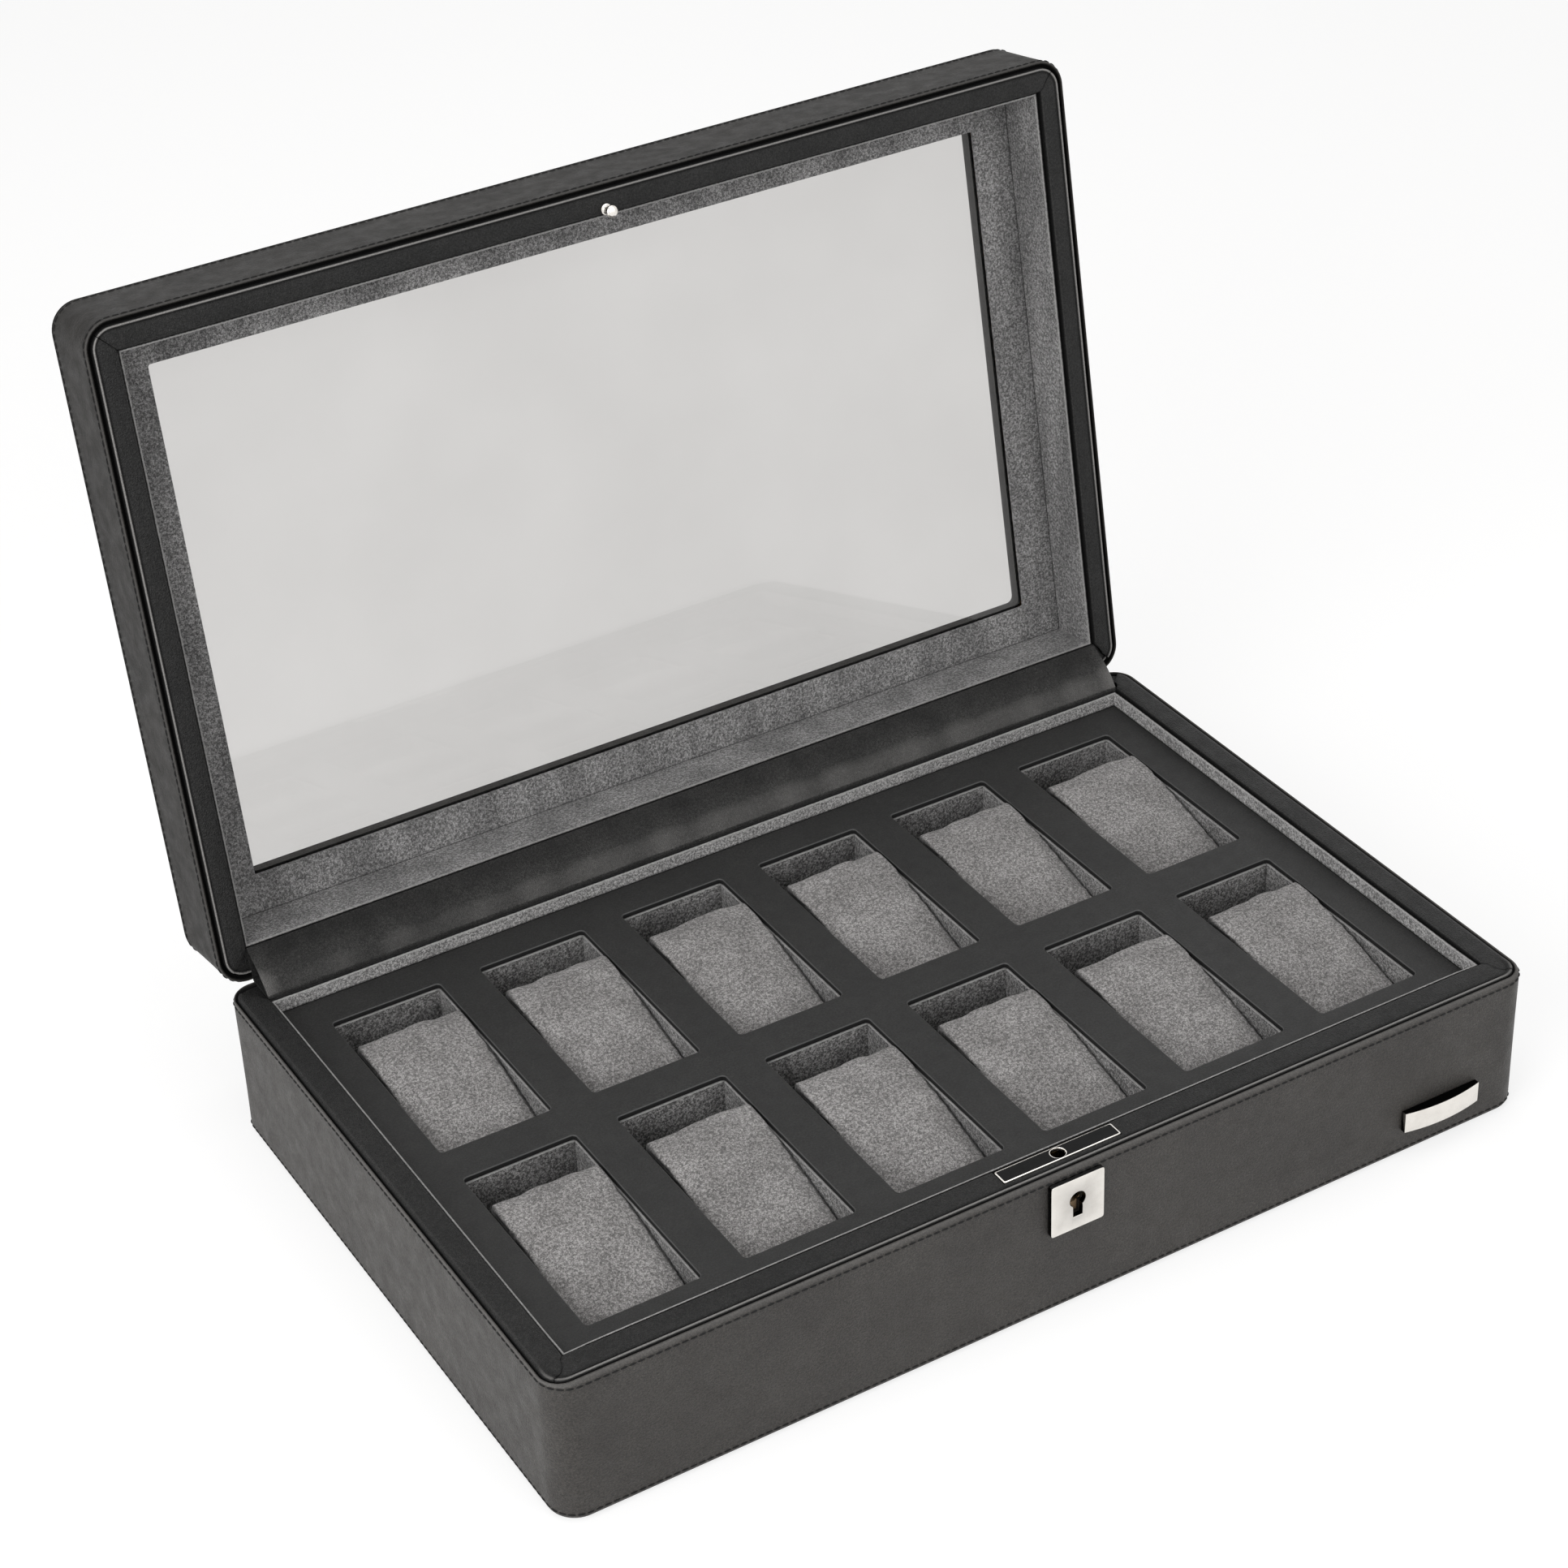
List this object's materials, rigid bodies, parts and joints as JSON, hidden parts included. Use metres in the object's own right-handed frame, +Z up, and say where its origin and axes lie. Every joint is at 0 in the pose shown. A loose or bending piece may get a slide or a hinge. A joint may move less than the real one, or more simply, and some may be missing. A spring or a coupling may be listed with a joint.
{
  "type": "watch box",
  "caption": "Leather-covered box with a glazed lid on a leather hinge, suede-lined wells with lift-out cushions for watches, and a small key lock.",
  "frame": {"origin": "centre of the underside", "axes": "+X to the right as seen from the front, the lock faces -Y, +Z up; the hinge runs along X at the rear"},
  "size_m": [0.375, 0.3171, 0.2899],
  "materials": {
    "smooth_leather": "smooth, fine grain",
    "rim_leather": "padded, soft sheen",
    "tray_leather": "smooth, matt",
    "hinge_leather": "fine grain",
    "suede": "short nap",
    "cushion_suede": "short nap, mottled",
    "board": "plain fibreboard",
    "felt": "matt",
    "glass": "clear",
    "polished_steel": "polished",
    "dark_nickel": "dark gloss with bright edges",
    "lock_steel": "satin"
  },
  "bodies": {
    "base": {"bottom_felt": "felt", "floor_board": "board", "front_board": "board", "right_board": "board", "rear_board": "board", "left_board": "board", "side_leather": "smooth_leather", "rim_leather_front": "rim_leather", "rim_leather_right": "rim_leather", "rim_leather_rear": "rim_leather", "rim_leather_left": "rim_leather", "wall_lining": "suede", "well_floor": "suede", "well_surround": "suede", "long_divider": "suede", "cross_divider_1": "suede", "cross_divider_2": "suede", "cross_divider_3": "suede", "cross_divider_4": "suede", "cross_divider_5": "suede", "tray_plate": "tray_leather", "lock_plate": "dark_nickel", "lock_case": "lock_steel", "lock_cover": "lock_steel", "escutcheon": "polished_steel", "nameplate": "polished_steel", "hinge_fold": "hinge_leather", "hinge_leaf_base": "hinge_leather", "hinge_flap": "hinge_leather"},
    "lid": {"lid_front_board": "board", "lid_right_board": "board", "lid_rear_board": "board", "lid_left_board": "board", "lid_top_panel": "board", "glass_pane": "glass", "window_frame": "suede", "lid_side_leather": "smooth_leather", "lid_top_leather": "smooth_leather", "lid_rim_leather_front": "rim_leather", "lid_rim_leather_right": "rim_leather", "lid_rim_leather_rear": "rim_leather", "lid_rim_leather_left": "rim_leather", "lid_wall_lining": "suede", "lid_stud": "polished_steel", "hinge_leaf_lid": "hinge_leather"},
    "rotor": {"lock_rotor": "lock_steel"},
    "bolt": {"lock_bolt": "lock_steel"},
    "cushion_front_1": {"cushion_front_1": "cushion_suede"},
    "cushion_front_2": {"cushion_front_2": "cushion_suede"},
    "cushion_front_3": {"cushion_front_3": "cushion_suede"},
    "cushion_front_4": {"cushion_front_4": "cushion_suede"},
    "cushion_front_5": {"cushion_front_5": "cushion_suede"},
    "cushion_front_6": {"cushion_front_6": "cushion_suede"},
    "cushion_rear_1": {"cushion_rear_1": "cushion_suede"},
    "cushion_rear_2": {"cushion_rear_2": "cushion_suede"},
    "cushion_rear_3": {"cushion_rear_3": "cushion_suede"},
    "cushion_rear_4": {"cushion_rear_4": "cushion_suede"},
    "cushion_rear_5": {"cushion_rear_5": "cushion_suede"},
    "cushion_rear_6": {"cushion_rear_6": "cushion_suede"}
  },
  "joints": [
    {"name": "lid_hinge", "type": "hinge", "parent": "base", "child": "lid", "pos_m": [0, 0.1188, 0.056], "axis": [-1, 0, 0], "range_deg": [-100.2, 0], "deforming": ["hinge_flap"]},
    {"name": "bolt_slide", "type": "slide", "parent": "base", "child": "bolt", "axis": [1, 0, 0], "range_m": [0, 0.004]},
    {"name": "key_turn", "type": "hinge", "parent": "base", "child": "rotor", "pos_m": [0, -0.1101, 0.0447], "axis": [0, 1, 0], "range_deg": [0, 90]},
    {"name": "cushion_front_1_lift", "type": "slide", "parent": "base", "child": "cushion_front_1", "axis": [0, 0, 1], "range_m": [0, 0.06]},
    {"name": "cushion_front_2_lift", "type": "slide", "parent": "base", "child": "cushion_front_2", "axis": [0, 0, 1], "range_m": [0, 0.06]},
    {"name": "cushion_front_3_lift", "type": "slide", "parent": "base", "child": "cushion_front_3", "axis": [0, 0, 1], "range_m": [0, 0.06]},
    {"name": "cushion_front_4_lift", "type": "slide", "parent": "base", "child": "cushion_front_4", "axis": [0, 0, 1], "range_m": [0, 0.06]},
    {"name": "cushion_front_5_lift", "type": "slide", "parent": "base", "child": "cushion_front_5", "axis": [0, 0, 1], "range_m": [0, 0.06]},
    {"name": "cushion_front_6_lift", "type": "slide", "parent": "base", "child": "cushion_front_6", "axis": [0, 0, 1], "range_m": [0, 0.06]},
    {"name": "cushion_rear_1_lift", "type": "slide", "parent": "base", "child": "cushion_rear_1", "axis": [0, 0, 1], "range_m": [0, 0.06]},
    {"name": "cushion_rear_2_lift", "type": "slide", "parent": "base", "child": "cushion_rear_2", "axis": [0, 0, 1], "range_m": [0, 0.06]},
    {"name": "cushion_rear_3_lift", "type": "slide", "parent": "base", "child": "cushion_rear_3", "axis": [0, 0, 1], "range_m": [0, 0.06]},
    {"name": "cushion_rear_4_lift", "type": "slide", "parent": "base", "child": "cushion_rear_4", "axis": [0, 0, 1], "range_m": [0, 0.06]},
    {"name": "cushion_rear_5_lift", "type": "slide", "parent": "base", "child": "cushion_rear_5", "axis": [0, 0, 1], "range_m": [0, 0.06]},
    {"name": "cushion_rear_6_lift", "type": "slide", "parent": "base", "child": "cushion_rear_6", "axis": [0, 0, 1], "range_m": [0, 0.06]}
  ],
  "couplings": [
    {"joint": "key_turn", "follows": "bolt_slide", "rad_per_m": 392.69}
  ]
}
